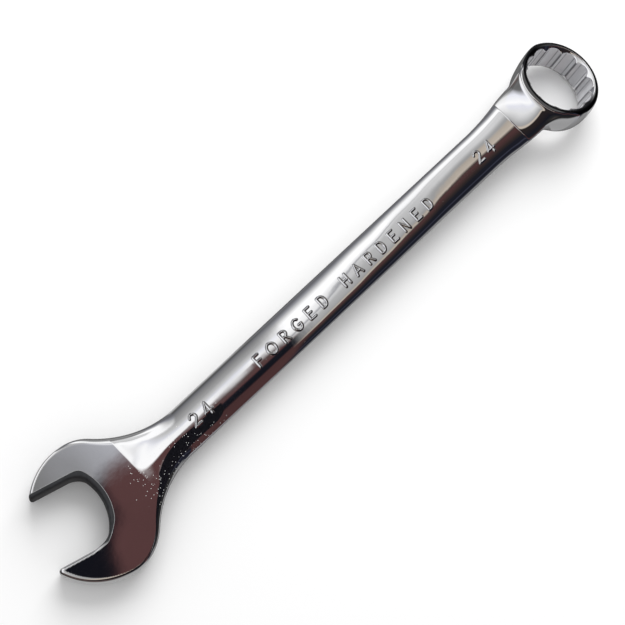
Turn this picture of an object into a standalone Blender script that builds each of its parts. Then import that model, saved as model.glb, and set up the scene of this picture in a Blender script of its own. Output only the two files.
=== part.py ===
"""Combination wrench, 24 mm across flats: an open jaw at one end, a 12-point ring at the other.

The real tool is one drop forging. It is modelled as its three zones, each a closed solid of its own:
open_end_head (the fork with its neck), shank, and ring_head (the ring with its neck).

Forging frame: origin on the shank's axis at the centre of the open head, +X towards the ring,
+Z square to the head's faces. The empty "forging" then lays the tool on its three feet, the two
prong tips and the low side of the ring, with the origin below the middle of its bounding box.
"""
import math

import bpy
import bmesh
import numpy as np

MM = 0.001
ZONE_GAP = 0.3 * MM

# Open head. The jaw frame has s along the jaw's opening direction and w across it.
JAW_WIDTH = 24.0 * MM
JAW_ANGLE = math.radians(15.0)
HEAD_CENTRE_Y = -0.4 * MM
HEAD_HALF_WIDTH = 24.0 * MM
HEAD_NOSE_UPPER = 22.8 * MM
HEAD_NOSE_LOWER = 24.6 * MM
HEAD_HEEL = 18.5 * MM
HEAD_HALF_THICKNESS = 5.15 * MM
HEAD_SIDE_CROWN = 1.4 * MM
JAW_OFFSET = 0.6 * MM
JAW_EDGE_CHAMFER = 1.0 * MM
THROAT_DEPTH = 2.2 * MM
THROAT_RADIUS = 18.0 * MM
THROAT_SHIFT = 1.2 * MM
THROAT_CORNER = 2.8 * MM
TIP_CORNER = 1.9 * MM
FACE_END_X = 17.0 * MM
HEAD_END_X = 39.8 * MM
UPPER_NECK_RADIUS = 38.0 * MM
LOWER_NECK_RADIUS = 36.0 * MM

# Shank: a crowned bar that grows a little towards the ring, set slightly across the heads' line.
SHANK_HALF_WIDTH_JAW = 7.8 * MM
SHANK_HALF_WIDTH_RING = 8.25 * MM
SHANK_AXIS_Y_JAW = -0.4 * MM
SHANK_AXIS_Y_RING = 0.15 * MM
SHANK_HALF_HEIGHT = 3.8 * MM
SECTION_POWER = 2.6
TAPER_END_X = 186.0 * MM
SHANK_END_X = 197.0 * MM

# Ring head. Its axis leans away from the jaw.
RING_CENTRE_X = 229.8 * MM
RING_CENTRE_Z = -0.7 * MM
RING_LEAN = math.radians(14.0)
RING_RADIUS = 16.9 * MM
RING_HALF_HEIGHT = 6.6 * MM
RING_UPPER_CROWN = 1.7 * MM
RING_LOWER_CROWN = 2.3 * MM
RING_NECK_RADIUS_UPPER = 85.0 * MM
RING_NECK_RADIUS_LOWER = 50.0 * MM
NECK_HALF_HEIGHT = 4.9 * MM
NECK_END_INSET = 11.0 * MM
WALL_POWER = 0.8
BORE_POINTS = 12
BORE_MEAN_RADIUS = 12.97 * MM
BORE_WAVE = 0.6 * MM
BORE_PHASE = math.radians(17.0)
COUNTERSINK_RADIUS = 14.4 * MM
COUNTERSINK_DEPTH = 1.6 * MM
COUNTERSINK_FLARE = 1.56

# Mesh resolution.
SIDE_LEVELS = 3
FACE_POINTS = 6
ELLIPSE_STEPS = 34
THROAT_STEPS = 14
NECK_STATIONS = 9
RING_SEGMENTS = 72
POINTS_PER_LOBE = 8
WALL_LEVELS = 5


def clear_scene():
    for obj in list(bpy.data.objects):
        bpy.data.objects.remove(obj, do_unlink=True)


def chrome(name, colour, roughness):
    material = bpy.data.materials.new(name)
    material.use_nodes = True
    shader = material.node_tree.nodes["Principled BSDF"]
    shader.inputs["Base Color"].default_value = (*colour, 1.0)
    shader.inputs["Metallic"].default_value = 1.0
    shader.inputs["Roughness"].default_value = roughness
    return material


def new_object(name, vertices, faces, material=None):
    mesh = bpy.data.meshes.new(name)
    mesh.from_pydata([tuple(float(c) for c in v) for v in vertices], [], faces)
    bm = bmesh.new()
    bm.from_mesh(mesh)
    bmesh.ops.recalc_face_normals(bm, faces=bm.faces)
    bm.to_mesh(mesh)
    bm.free()
    mesh.shade_smooth()
    mesh.set_sharp_from_angle(angle=math.radians(30))
    obj = bpy.data.objects.new(name, mesh)
    bpy.context.collection.objects.link(obj)
    if material:
        mesh.materials.append(material)
    return obj


def smoothstep(t):
    t = min(max(t, 0.0), 1.0)
    return t * t * (3.0 - 2.0 * t)


def lerp(a, b, t):
    return a + (b - a) * t


# --- planform of the open head -------------------------------------------------------------

def from_head(s, w):
    """Forging-frame XY of a point s along the jaw's opening direction and w across it, from the
    head's centre."""
    c, d = math.cos(JAW_ANGLE), math.sin(JAW_ANGLE)
    return np.array([-s * c + w * d, HEAD_CENTRE_Y + s * d + w * c])


def from_jaw(s, w):
    """The same from the jaw's middle line, which runs beside the head's centre."""
    return from_head(s, w + JAW_OFFSET)


def head_ellipse(angle):
    nose = HEAD_NOSE_UPPER if angle > 0 else HEAD_NOSE_LOWER
    length = nose if math.cos(angle) > 0 else HEAD_HEEL
    return from_head(length * math.cos(angle), HEAD_HALF_WIDTH * math.sin(angle))


def neck_fillet(side, radius):
    """Centre of the arc that blends the head's ellipse into one side of the shank, and the ellipse
    angle where they touch. side is +1 for the upper prong's side and -1 for the lower's."""
    bar_side = SHANK_AXIS_Y_JAW + side * SHANK_HALF_WIDTH_JAW
    angles = [side * math.radians(90 + 90 * k / 400) for k in range(401)]
    curve = np.array([head_ellipse(a) for a in angles])
    near, far = 20.0 * MM, 90.0 * MM
    for _ in range(50):
        middle = 0.5 * (near + far)
        centre = np.array([middle, bar_side + side * radius])
        gaps = np.linalg.norm(curve - centre, axis=1)
        if gaps.min() < radius:
            near = middle
        else:
            far = middle
    return centre, angles[int(gaps.argmin())]


def corner_blend(first, second, reach, steps=5):
    """Two runs of points that end and start at one corner, joined by a smooth curve instead."""
    corner = first[-1]
    first = [p for p in first if np.linalg.norm(p - corner) > reach]
    second = [p for p in second if np.linalg.norm(p - corner) > reach]
    start = corner + (first[-1] - corner) * reach / np.linalg.norm(first[-1] - corner)
    end = corner + (second[0] - corner) * reach / np.linalg.norm(second[0] - corner)
    curve = []
    for k in range(steps + 1):
        t = k / steps
        curve.append((1 - t) ** 2 * start + 2 * t * (1 - t) * corner + t ** 2 * end)
    return first, curve, second


def prong_outline(side, tangent_angle):
    """The head's outer edge from its neck to the prong's tip."""
    tip_angle = math.asin((0.5 * JAW_WIDTH + side * JAW_OFFSET) / HEAD_HALF_WIDTH)
    angles = np.linspace(abs(tangent_angle), tip_angle, ELLIPSE_STEPS)
    return [head_ellipse(side * a) for a in angles]


def throat_outline():
    """The jaw's back, from the upper flat to the lower flat."""
    centre = THROAT_RADIUS - THROAT_DEPTH
    half = 0.5 * JAW_WIDTH
    upper = math.asin((half - THROAT_SHIFT) / THROAT_RADIUS)
    lower = math.asin((-half - THROAT_SHIFT) / THROAT_RADIUS)
    points = []
    for angle in np.linspace(upper, lower, THROAT_STEPS):
        s = centre - THROAT_RADIUS * math.cos(angle)
        points.append(from_jaw(s, THROAT_SHIFT + THROAT_RADIUS * math.sin(angle)))
    return points


def head_outline():
    """The free edge from the upper neck round both prongs to the lower neck, as (point, jaw share)
    pairs: a share of 0 has the outer side's profile and 1 has the jaw's."""
    upper_centre, upper_angle = neck_fillet(1, UPPER_NECK_RADIUS)
    lower_centre, lower_angle = neck_fillet(-1, LOWER_NECK_RADIUS)
    upper = prong_outline(1, upper_angle)
    lower = prong_outline(-1, lower_angle)[::-1]
    throat = throat_outline()
    flat_up = [upper[-1], lerp(upper[-1], throat[0], 0.5), throat[0]]
    flat_low = [throat[-1], lerp(throat[-1], lower[0], 0.5), lower[0]]

    upper, tip_up, flat_up = corner_blend(upper, flat_up, TIP_CORNER)
    flat_up, corner_up, throat = corner_blend(flat_up, throat, THROAT_CORNER)
    throat, corner_low, flat_low = corner_blend(throat, flat_low, THROAT_CORNER)
    flat_low, tip_low, lower = corner_blend(flat_low, lower, TIP_CORNER)

    edge = [(p, 0.0) for p in neck_arc(upper_centre, UPPER_NECK_RADIUS, upper[0], 1)]
    edge += [(p, 0.0) for p in upper]
    edge += [(p, k / 5) for k, p in enumerate(tip_up)]
    edge += [(p, 1.0) for p in corner_up + throat + corner_low]
    edge += [(p, 1 - k / 5) for k, p in enumerate(tip_low)]
    edge += [(p, 0.0) for p in lower]
    edge += [(p, 0.0) for p in neck_arc(lower_centre, LOWER_NECK_RADIUS, lower[-1], -1)[::-1]]
    return edge, (upper_centre, lower_centre)


def neck_arc(centre, radius, touch, side):
    """Points of a neck fillet from the end of the flat face to where it touches the ellipse."""
    start = math.acos((FACE_END_X - centre[0]) / radius)
    end = math.acos((touch[0] - centre[0]) / radius)
    if end <= start:
        start = end
    angles = np.linspace(start, end, 5)[:-1]
    return [centre + radius * np.array([math.cos(a), -side * math.sin(a)]) for a in angles]


# --- open head solid -----------------------------------------------------------------------

def side_profile(share):
    """(inset, height) up the edge from the middle plane to the flat face."""
    outer = []
    for k in range(SIDE_LEVELS + 1):
        angle = 0.5 * math.pi * k / SIDE_LEVELS
        outer.append((HEAD_SIDE_CROWN * (1 - math.cos(angle)), HEAD_HALF_THICKNESS * math.sin(angle)))
    wall = HEAD_HALF_THICKNESS - JAW_EDGE_CHAMFER
    jaw = [(0.0, 0.0)]
    for k in range(SIDE_LEVELS):
        angle = 0.5 * math.pi * k / (SIDE_LEVELS - 1)
        rise = JAW_EDGE_CHAMFER * math.sin(angle)
        jaw.append((JAW_EDGE_CHAMFER * (1 - math.cos(angle)), wall + rise))
    return [(lerp(a[0], b[0], share), lerp(a[1], b[1], share)) for a, b in zip(outer, jaw)]


def inward_normals(points):
    """Unit normals that point into the metal, for an edge walked with the metal on its left."""
    ahead = np.vstack([points[1:], points[-1:]])
    behind = np.vstack([points[:1], points[:-1]])
    along = ahead - behind
    along /= np.linalg.norm(along, axis=1)[:, None]
    return np.stack([-along[:, 1], along[:, 0]], axis=1)


def section_angles():
    """Parameter of each point across the top half of a section, from one side to the other."""
    count = 2 * SIDE_LEVELS + FACE_POINTS + 1
    return [math.pi * k / count for k in range(count + 1)]


def bar_section(sides, height):
    """Top half of a crowned bar's section between two sides, as (y, z), in the order of +Y."""
    middle = 0.5 * (sides[0] + sides[1])
    reach = 0.5 * (sides[1] - sides[0])
    points = []
    for angle in section_angles():
        c, s = math.cos(angle), math.sin(angle)
        y = middle - math.copysign(abs(c) ** (2 / SECTION_POWER), c) * reach
        points.append((y, height * abs(s) ** (2 / SECTION_POWER)))
    points[0] = (sides[0], 0.0)
    points[-1] = (sides[1], 0.0)
    return points


def plate_section(sides, height):
    """Top half of a flat plate's section with the head's crowned sides, point for point like
    bar_section."""
    side = [(i, z * height / HEAD_HALF_THICKNESS) for i, z in side_profile(0.0)]
    low = [(sides[0] + i, z) for i, z in side]
    up = [(sides[1] - i, z) for i, z in reversed(side)]
    face = []
    for k in range(1, FACE_POINTS + 1):
        face.append((lerp(low[-1][0], up[0][0], k / (FACE_POINTS + 1)), height))
    return low + face + up


def loft(rows):
    """Faces between neighbouring rows of equal point counts; rows are lists of vertex indices."""
    faces = []
    for a, b in zip(rows, rows[1:]):
        for k in range(len(a) - 1):
            faces.append((a[k], a[k + 1], b[k + 1], b[k]))
    return faces


class Shell:
    """Top half of a body that is the mirror image of its bottom half about z = 0."""

    def __init__(self):
        self.vertices = []
        self.faces = []

    def add(self, x, y, z):
        self.vertices.append((x, y, z))
        return len(self.vertices) - 1

    def mirrored(self):
        """Vertices and faces of the whole body; the points at z = 0 are shared."""
        vertices = list(self.vertices)
        twin = []
        for k, (x, y, z) in enumerate(self.vertices):
            if z == 0.0:
                twin.append(k)
            else:
                vertices.append((x, y, -z))
                twin.append(len(vertices) - 1)
        faces = list(self.faces) + [tuple(twin[k] for k in reversed(f)) for f in self.faces]
        return vertices, faces, twin


def neck_sides(x, centres):
    """Y of the head neck's two sides at x, lower then upper."""
    upper, lower = centres
    high = SHANK_AXIS_Y_JAW + SHANK_HALF_WIDTH_JAW
    low = SHANK_AXIS_Y_JAW - SHANK_HALF_WIDTH_JAW
    if x < upper[0]:
        high = upper[1] - math.sqrt(UPPER_NECK_RADIUS ** 2 - (x - upper[0]) ** 2)
    if x < lower[0]:
        low = lower[1] + math.sqrt(LOWER_NECK_RADIUS ** 2 - (x - lower[0]) ** 2)
    return low, high


def make_open_end_head(material):
    edge, centres = head_outline()
    points = np.array([p for p, _ in edge])
    normals = inward_normals(points)
    shell = Shell()

    rows = []
    for station in range(NECK_STATIONS + 1):
        t = station / NECK_STATIONS
        x = lerp(HEAD_END_X, FACE_END_X, t)
        share = smoothstep(t)
        sides = neck_sides(x, centres)
        height = lerp(SHANK_HALF_HEIGHT, HEAD_HALF_THICKNESS, share)
        bar = bar_section(sides, height)
        plate = plate_section(sides, height)
        row = [(lerp(b[0], p[0], share), lerp(b[1], p[1], share)) for b, p in zip(bar, plate)]
        rows.append([shell.add(x, y, z) for y, z in row])
    shell.faces += loft(rows)

    crease = rows[-1]
    levels = SIDE_LEVELS + 1
    strip = [crease[-1:-levels - 1:-1]]
    for (point, share), normal in list(zip(edge, normals))[1:-1]:
        ring = []
        for inset, height in side_profile(share):
            x, y = point + normal * inset
            ring.append(shell.add(x, y, height))
        strip.append(ring)
    strip.append(crease[:levels])
    shell.faces += loft(strip)
    face = [row[-1] for row in strip] + crease[levels:-levels]
    shell.faces.append(tuple(face))

    vertices, faces, twin = shell.mirrored()
    end = rows[0]
    faces.append(tuple(end + [twin[k] for k in reversed(end[1:-1])]))
    return new_object("open_end_head", vertices, faces, material)


# --- bar solids ----------------------------------------------------------------------------

def bar_solid(name, stations, material=None):
    """A closed bar through stations of (x, sides, half height)."""
    shell = Shell()
    rows = []
    for x, sides, half_height in stations:
        rows.append([shell.add(x, y, z) for y, z in bar_section(sides, half_height)])
    shell.faces += loft(rows)
    vertices, faces, twin = shell.mirrored()
    for end in (rows[0], rows[-1]):
        faces.append(tuple(end + [twin[k] for k in reversed(end[1:-1])]))
    return new_object(name, vertices, faces, material)


def shank_sides(x):
    """Y of the shank's two sides at x, lower then upper. The ring's flare begins before its end."""
    if x > TAPER_END_X:
        low = ring_neck_side(x, -1, RING_NECK_RADIUS_LOWER)
        return low, ring_neck_side(x, 1, RING_NECK_RADIUS_UPPER)
    t = (x - HEAD_END_X) / (TAPER_END_X - HEAD_END_X)
    middle = lerp(SHANK_AXIS_Y_JAW, SHANK_AXIS_Y_RING, t)
    reach = lerp(SHANK_HALF_WIDTH_JAW, SHANK_HALF_WIDTH_RING, t)
    return middle - reach, middle + reach


def make_shank(material):
    places = list(np.linspace(HEAD_END_X + ZONE_GAP, TAPER_END_X, 8))
    places += list(np.linspace(TAPER_END_X, SHANK_END_X, 5)[1:])
    stations = [(x, shank_sides(x), SHANK_HALF_HEIGHT) for x in places]
    return bar_solid("shank", stations, material)


def ring_neck_side(x, side, radius):
    """Y of one side of the ring's neck: an arc that touches the shank's side and the round wall."""
    bar_side = SHANK_AXIS_Y_RING + side * SHANK_HALF_WIDTH_RING
    rise = side * bar_side + radius
    arc_x = RING_CENTRE_X - math.sqrt((RING_RADIUS + radius) ** 2 - rise ** 2)
    if x < arc_x:
        return bar_side
    return side * (rise - math.sqrt(radius ** 2 - (x - arc_x) ** 2))


def ring_neck_stations():
    end = RING_CENTRE_X - NECK_END_INSET
    start = SHANK_END_X + ZONE_GAP
    stations = []
    for x in np.linspace(start, end, NECK_STATIONS + 1):
        share = smoothstep((x - start) / (end - start))
        half_height = lerp(SHANK_HALF_HEIGHT, NECK_HALF_HEIGHT, share)
        stations.append((x, shank_sides(x), half_height))
    return stations


# --- ring head -----------------------------------------------------------------------------

def round_wave(angle):
    return 0.0


def bore_wave(angle):
    return BORE_WAVE * math.cos(BORE_POINTS * (angle - BORE_PHASE))


def lathe(name, profile, wave=round_wave, segments=RING_SEGMENTS):
    """A body about Z with flat ends, from a (radius, height) profile and a wave added to its radius."""
    vertices = []
    rings = []
    for radius, height in profile:
        ring = []
        for k in range(segments):
            angle = 2 * math.pi * k / segments
            r = radius + wave(angle)
            ring.append(len(vertices))
            vertices.append((r * math.cos(angle), r * math.sin(angle), height))
        rings.append(ring)
    faces = loft([ring + ring[:1] for ring in rings])
    faces += [tuple(rings[0]), tuple(rings[-1])]
    return new_object(name, vertices, faces)


def ring_wall_profile():
    """(radius, height) of the ring's crowned outer wall, from its lower face to its upper face."""
    profile = []
    for k in range(-WALL_LEVELS, WALL_LEVELS + 1):
        angle = 0.5 * math.pi * k / WALL_LEVELS
        crown = RING_LOWER_CROWN if k < 0 else RING_UPPER_CROWN
        radius = RING_RADIUS - crown * (1 - math.cos(angle) ** WALL_POWER)
        profile.append((radius, RING_HALF_HEIGHT * math.sin(angle)))
    return profile


def countersink_profile(direction):
    """A cone that opens out of the ring's face; direction is +1 for the upper face."""
    over = 1.0 * MM
    wide = COUNTERSINK_RADIUS + COUNTERSINK_FLARE * over
    narrow = COUNTERSINK_RADIUS - COUNTERSINK_FLARE * COUNTERSINK_DEPTH
    ends = [(narrow, direction * (RING_HALF_HEIGHT - COUNTERSINK_DEPTH))]
    ends.append((wide, direction * (RING_HALF_HEIGHT + over)))
    return ends


def place_on_ring(obj):
    obj.location = (RING_CENTRE_X, 0.0, RING_CENTRE_Z)
    obj.rotation_euler = (0.0, RING_LEAN, 0.0)


def cut(obj, cutter, operation):
    modifier = obj.modifiers.new(cutter.name, "BOOLEAN")
    modifier.object = cutter
    modifier.operation = operation
    modifier.solver = "EXACT"
    cutter.hide_render = True
    cutter.display_type = "WIRE"


def make_ring_head(material):
    neck = bar_solid("ring_head", ring_neck_stations(), material)
    blank = lathe("ring_blank", ring_wall_profile())
    through = 2 * RING_HALF_HEIGHT
    tube = [(BORE_MEAN_RADIUS, -through), (BORE_MEAN_RADIUS, through)]
    bore = lathe("bore_cutter", tube, bore_wave, BORE_POINTS * POINTS_PER_LOBE)
    upper_cone = lathe("upper_countersink_cutter", countersink_profile(1))
    lower_cone = lathe("lower_countersink_cutter", countersink_profile(-1))
    for tool in (blank, bore, upper_cone, lower_cone):
        place_on_ring(tool)
    cut(neck, blank, "UNION")
    for tool in (bore, upper_cone, lower_cone):
        cut(neck, tool, "DIFFERENCE")
    return neck, (blank, bore, upper_cone, lower_cone)


# --- laying the tool down ------------------------------------------------------------------

def lying_angle():
    """How far the ring end lifts when the prong tips and the ring's low side share a floor."""
    tilt_x = math.cos(RING_LEAN)
    tilt_z = math.sin(RING_LEAN)
    foot_radius = RING_RADIUS - RING_LOWER_CROWN
    foot_x = RING_CENTRE_X + foot_radius * tilt_x - RING_HALF_HEIGHT * tilt_z
    foot_z = RING_CENTRE_Z - foot_radius * tilt_z - RING_HALF_HEIGHT * tilt_x
    tip_x = -HEAD_NOSE_UPPER * math.cos(JAW_ANGLE)
    return math.atan2(-HEAD_HALF_THICKNESS - foot_z, foot_x - tip_x)


def lay_down(parts, tools):
    forging = bpy.data.objects.new("forging", None)
    bpy.context.collection.objects.link(forging)
    for obj in parts + tools:
        obj.parent = forging
    forging.rotation_euler = (0.0, -lying_angle(), 0.0)
    bpy.context.view_layer.update()
    depsgraph = bpy.context.evaluated_depsgraph_get()
    corners = []
    for obj in parts:
        evaluated = obj.evaluated_get(depsgraph)
        corners += [evaluated.matrix_world @ v.co for v in evaluated.data.vertices]
    corners = np.array(corners)
    low, high = corners.min(axis=0), corners.max(axis=0)
    middle = 0.5 * (low + high)
    forging.location = (-middle[0], -middle[1], -low[2])


def main():
    clear_scene()
    head = make_open_end_head(chrome("head_chrome", (0.62, 0.62, 0.63), 0.12))
    shank = make_shank(chrome("shank_chrome", (0.68, 0.68, 0.69), 0.07))
    ring, tools = make_ring_head(chrome("ring_chrome", (0.66, 0.66, 0.67), 0.09))
    lay_down([head, shank, ring], list(tools))


main()
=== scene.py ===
"""Looks of the combination wrench: one mirror-chromed forging on a white studio floor.

Each of the frame's three zones gets a fine closed skin. The two heads are level sets of smooth
solids, which gives the soft fillets of a forging; the shank is a swept section with raised marks.
Shapes are in millimetres in the forging frame: origin on the shank's axis at the centre of the open
head, +X to the ring, +Z off the face.
"""
import math

import bmesh
import bpy
import numpy as np
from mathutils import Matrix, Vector


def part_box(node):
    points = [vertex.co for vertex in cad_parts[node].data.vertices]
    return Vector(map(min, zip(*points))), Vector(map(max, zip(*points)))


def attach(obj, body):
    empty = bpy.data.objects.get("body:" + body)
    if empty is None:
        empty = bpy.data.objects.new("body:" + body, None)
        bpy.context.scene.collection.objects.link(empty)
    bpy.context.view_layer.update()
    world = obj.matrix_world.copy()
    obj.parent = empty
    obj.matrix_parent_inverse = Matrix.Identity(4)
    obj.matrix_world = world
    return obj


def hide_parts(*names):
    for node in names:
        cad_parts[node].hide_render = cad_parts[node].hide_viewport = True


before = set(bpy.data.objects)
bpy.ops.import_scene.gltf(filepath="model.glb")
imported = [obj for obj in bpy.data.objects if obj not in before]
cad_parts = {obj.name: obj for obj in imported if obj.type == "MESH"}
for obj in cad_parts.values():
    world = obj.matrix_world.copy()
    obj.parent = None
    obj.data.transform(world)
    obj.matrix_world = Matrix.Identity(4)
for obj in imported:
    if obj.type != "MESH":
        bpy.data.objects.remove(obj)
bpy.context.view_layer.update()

MM = 0.001

# The forging's dimensions, as in the CAD model (mm).
ZONE_GAP = 0.3
JAW_WIDTH = 24.0
JAW_ANGLE = math.radians(15.0)
HEAD_CENTRE_Y = -0.4
HEAD_HALF_WIDTH = 24.0
HEAD_NOSE_UPPER = 22.8
HEAD_NOSE_LOWER = 24.6
HEAD_HEEL = 18.5
HEAD_HALF_THICKNESS = 5.15
HEAD_SIDE_CROWN = 1.4
JAW_OFFSET = 0.6
THROAT_DEPTH = 2.2
THROAT_RADIUS = 18.0
THROAT_SHIFT = 1.2
THROAT_CORNER = 2.8
TIP_CORNER = 1.9
FACE_END_X = 17.0
HEAD_END_X = 39.8
UPPER_NECK_RADIUS = 38.0
LOWER_NECK_RADIUS = 36.0
SHANK_HALF_WIDTH_JAW = 7.8
SHANK_HALF_WIDTH_RING = 8.25
SHANK_AXIS_Y_JAW = -0.4
SHANK_AXIS_Y_RING = 0.15
SHANK_HALF_HEIGHT = 3.8
SECTION_POWER = 2.6
TAPER_END_X = 186.0
SHANK_END_X = 197.0
RING_CENTRE_X = 229.8
RING_CENTRE_Z = -0.7
RING_LEAN = math.radians(14.0)
RING_RADIUS = 16.9
RING_HALF_HEIGHT = 6.6
RING_UPPER_CROWN = 1.7
RING_LOWER_CROWN = 2.3
WALL_POWER = 0.8
BORE_POINTS = 12
BORE_PHASE = math.radians(17.0)
BORE_RIDGE_RADIUS = 12.4
BORE_GROOVE_RADIUS = 13.65

# Soft edges and transitions that only the looks have (mm; powers, slopes and shares are plain).
SIDE_POWER = 4.0
HEEL_CROWN_X = -4.0
CROWN_BLEND_LENGTH = 40.0
NECK_SIDE_CROWN = 5.5
NECK_BLEND_DELAY = 2.0
OUTLINE_OVERRUN = 30.0
LEVEL_END_X = 70.0
LEVEL_POWER = 1.5
CREASE_DROP = 0.17
CREASE_REACH = 8.0
CREASE_LOW_Y = -2.0
CREASE_HIGH_Y = 5.0
RIM_ROUNDING = 1.1
BORE_EDGE_RADIUS = 0.35
BORE_LOBE_POWER = 2.6
BORE_RIDGE_SHARE = 0.9
NECK_FILLET = 3.0
LEAST_FILLET = 0.01
NECK_FLARE_START_X = 188.0
NECK_FLARE_UPPER = 95.0
NECK_FLARE_LOWER = 150.0
NECK_WIDEST_UPPER = 10.9
NECK_WIDEST_LOWER = 9.8
NECK_WIDEST_EASE = 1.0
NECK_SWEEP_FOOT = 25.0
NECK_SWEEP_NARROWING = 0.7
NECK_SWEEP_START = 4.0
NECK_SWEEP_SLOPE = 0.24
NECK_SWEEP_RADIUS = 14.0
NECK_SWEEP_SOFT = 0.2
NECK_BOTTOM_RISE = 0.5
NECK_STOP_X = 221.0
NECK_STOP_ROUNDING = 2.0
WALL_FLAT_X = 212.9
WALL_FLAT_Y = 10.8
WALL_FLAT_SLOPE = 0.33
WALL_FLAT_ROUNDING = 2.5
TOP_SINK_RADIUS = 14.5
TOP_SINK_SLOPE = 1.25
BOTTOM_SINK_RADIUS = 14.0
BOTTOM_SINK_SLOPE = 0.6

# Where the outline and the two heads are sampled (mm), and how finely.
PLAN_LOW = (-32.0, -32.0)
PLAN_HIGH = (52.0, 32.0)
PLAN_CELL = 0.3
ELLIPSE_POINTS = 721
FILLET_POINTS = 121
FILLET_CENTRE_RANGE = (20.0, 90.0)
HALVINGS = 50
HEAD_LOW = (-26.0, -27.0, -5.88)
HEAD_HIGH = (HEAD_END_X, 27.0, 5.88)
HEAD_CELL = 0.42
RING_LOW = (SHANK_END_X, -18.4, -12.2)
RING_HIGH = (250.0, 18.4, 11.2)
RING_CELL = 0.32
GRADIENT_STEP = 0.02
SETTLE_ROUNDS = 4
SETTLE_REACH = 0.3

# The shank's mesh: fine where there are marks, plain elsewhere (mm and counts). MARK_BAND is the
# marked share of its half width, and SIDE_ANGLE is where its side turns into the shoulder.
SHANK_STEP = 0.17
PLAIN_STEP = 0.6
TAIL_SECTIONS = 10
MARK_BAND = 0.45
SIDE_ANGLE = math.radians(38.0)
SIDE_CROWDING = 1.5
SHOULDER_POINTS = 11
SHANK_SIDE_POINTS = 22
SHANK_UNDER_POINTS = 24

# Raised marks on the shank: a size number by each end and generic words between them (mm). A row
# is a text, the X of its first sign, the pitch of its signs and their height.
MARK_LINE_Y = -0.6
MARK_STROKE = 0.36
MARK_RELIEF = 0.32
NUMBER_HEIGHT = 4.6
WORD_HEIGHT = 4.1
MARKS = (
    ("24", 42.6, 5.6, NUMBER_HEIGHT),
    ("FORGED", 72.9, 6.2, WORD_HEIGHT),
    ("HARDENED", 115.3, 6.1, WORD_HEIGHT),
    ("24", 185.4, 5.9, NUMBER_HEIGHT),
)

# A mark's profile across its stroke, in multiples of MARK_STROKE from its middle line.
MARK_REACH = 1.5
MARK_TOP = 0.25
# Where the painted shade round a mark's foot lies, and how wide it is, in the same multiples.
FOOT_SHADE_PLACE = 1.15
FOOT_SHADE_WIDTH = 0.28

# Finish of the chrome plate: colours, roughness, and patterns in cells per metre.
CHROME = (0.86, 0.86, 0.87)
CHROME_HAZE = (0.80, 0.80, 0.81)
MIRROR_ROUGHNESS = 0.018
WIPED_ROUGHNESS = 0.025
HAZED_ROUGHNESS = 0.03
PEEL_DEPTH = 0.00006
PEEL_SCALE = 70.0
RIPPLE_SCALE = 420.0
RIPPLE_SHARE = 0.03
WIPING_SCALE = (60.0, 2600.0, 900.0)
WIPING_RANGE = (0.52, 0.80)
HAZE_SCALE = 48.0
HAZE_RANGE = (0.45, 0.75)
CLOUD_RANGE = (0.35, 0.70)
# Painted shade round the feet of the marks: its colour and how strongly it is laid on.
MARK_FOOT_SHADE = (0.03, 0.03, 0.035)
MARK_FOOT_SHADE_SHARE = 0.55

# Dust: a speck's colour, its cells per metre, the share of them with a speck, and its size in
# cells; then the extra share on the neck, and its window there as two steps each way (mm).
DUST = (0.72, 0.72, 0.71)
DUST_SCALE = 1250.0
DUST_SHARE = 0.03
DUST_SIZE = 0.16
NECK_DUST_SHARE = 0.75
NECK_DUST_X = ((8.0, 18.0), (58.0, 40.0))
NECK_DUST_Y = ((-17.0, -12.0), (4.0, 0.0))

# The painted dark reflection on the jaw's walls: how far it reaches onto the face (mm), and its
# colours.
DARK_JAW_EDGE = 1.8
DARK_JAW_THINNING = 1.1
DARK_JAW_THIN_ACROSS = (-5.0, -12.5)
DARK_JAW_BRIGHT_ACROSS = (-12.9, -11.6)
DARK_JAW_ROUNDING = 2.5
DARK_JAW_SOFT = 0.15
DARK_JAW_SCALE = 700.0
PAINTED_JAW_REFLECTION_COLOURS = ((0.012, 0.013, 0.015), (0.035, 0.036, 0.040))

# The painted dark reflection on the ring's rim (mm along, across and out from its axis) and the
# satin of its bore.
PAINTED_RIM_REFLECTION = (0.035, 0.035, 0.04)
RIM_ALONG = (5.3, 5.9)
RIM_FACING = (0.25, 0.55)
RIM_RADIUS = 15.2
RIM_WIDENING = 3.6
RIM_WIDENING_ACROSS = (-9.0, 0.0)
RIM_EDGE = (0.3, -0.1)
BRIGHT_RIM_RADIUS = (14.9, 14.5)
BRIGHT_RIM_ACROSS = (1.0, 8.0)
SATIN = (0.90, 0.90, 0.92)
SATIN_DARK = (0.70, 0.70, 0.73)
SATIN_LINE = (0.16, 0.16, 0.18)
SATIN_NOTCH = (0.05, 0.05, 0.06)
SATIN_SCALE = 260.0
SATIN_RADIUS = (14.6, 14.3)
SATIN_FACING = (0.35, 0.15)
NOTCH_LOBE = (0.80, 0.97)
NOTCH_SHARE = 0.8
LINE_LOBE = 0.50
LINE_WIDTH = (0.10, 0.02)


def smoothstep(t):
    t = np.clip(t, 0.0, 1.0)
    return t * t * (3.0 - 2.0 * t)


def lerp(a, b, t):
    return a + (b - a) * t


def smooth_min(a, b, reach):
    """Union of two fields with a fillet."""
    h = np.clip(0.5 + 0.5 * (b - a) / reach, 0.0, 1.0)
    return lerp(b, a, h) - reach * h * (1.0 - h)


def round_max(a, b, radius):
    """Intersection of two fields with a rounded edge."""
    corner = np.hypot(np.maximum(a + radius, 0.0), np.maximum(b + radius, 0.0))
    return np.minimum(np.maximum(a, b), -radius) + corner


# --- planform of the open head ---

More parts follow.
